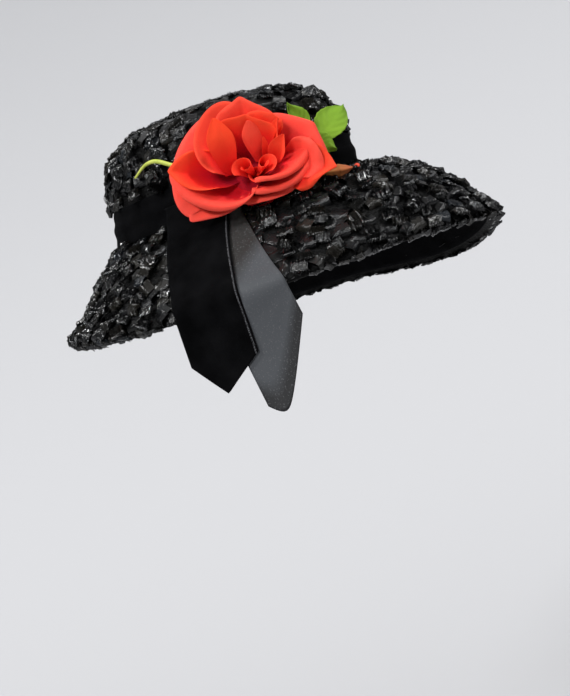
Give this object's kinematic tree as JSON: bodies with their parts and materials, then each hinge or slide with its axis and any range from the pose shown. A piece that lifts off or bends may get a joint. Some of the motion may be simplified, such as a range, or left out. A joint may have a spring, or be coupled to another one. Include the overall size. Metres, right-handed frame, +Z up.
{
  "type": "wide-brim straw hat",
  "caption": "Wide-brim straw hat of black fancy braid, with a domed crown, a down-turned brim, a velvet band, ribbon tails over the brim and a large fabric rose at the side.",
  "frame": {"origin": "middle of the head opening, 9 mm above the foot of the crown at its front and sides, with the hat level", "axes": "+Z up through the tip of the crown, -Y towards the front of the hat, -X towards the wearer's right, where the rose is"},
  "size_m": [0.3017, 0.3418, 0.24],
  "materials": {
    "straw": "black cellophane straw braid, satin to glossy, folded into tabs and crimped tufts",
    "velvet": "black rayon velvet, very dark and matt",
    "satin": "dark grey satin back of the velvet ribbon, soft sheen",
    "petal": "coral red dyed cloth, matt with a faint sheen",
    "leaf": "yellow-green dyed cloth",
    "stem": "yellow-green wrapped wire",
    "calyx": "orange-brown dyed cloth"
  },
  "bodies": {
    "root": {"crown": "straw", "brim": "straw", "brim_facing": "velvet", "hat_band": "velvet", "velvet_tail": "velvet", "satin_tail": "satin", "rose_neck": "stem", "rose_heart": "petal", "petal_inner_1": "petal", "petal_inner_2": "petal", "petal_inner_3": "petal", "petal_middle_1": "petal", "petal_middle_2": "petal", "petal_middle_3": "petal", "petal_middle_4": "petal", "petal_wide_1": "petal", "petal_wide_2": "petal", "petal_wide_3": "petal", "petal_wide_4": "petal", "petal_wide_5": "petal", "petal_outer_1": "petal", "petal_outer_2": "petal", "petal_outer_3": "petal", "petal_outer_4": "petal", "petal_outer_5": "petal", "leaf_back": "leaf", "leaf_large": "leaf", "leaf_front": "leaf", "stem": "stem", "bud": "calyx", "bud_tip": "petal"}
  },
  "joints": []
}
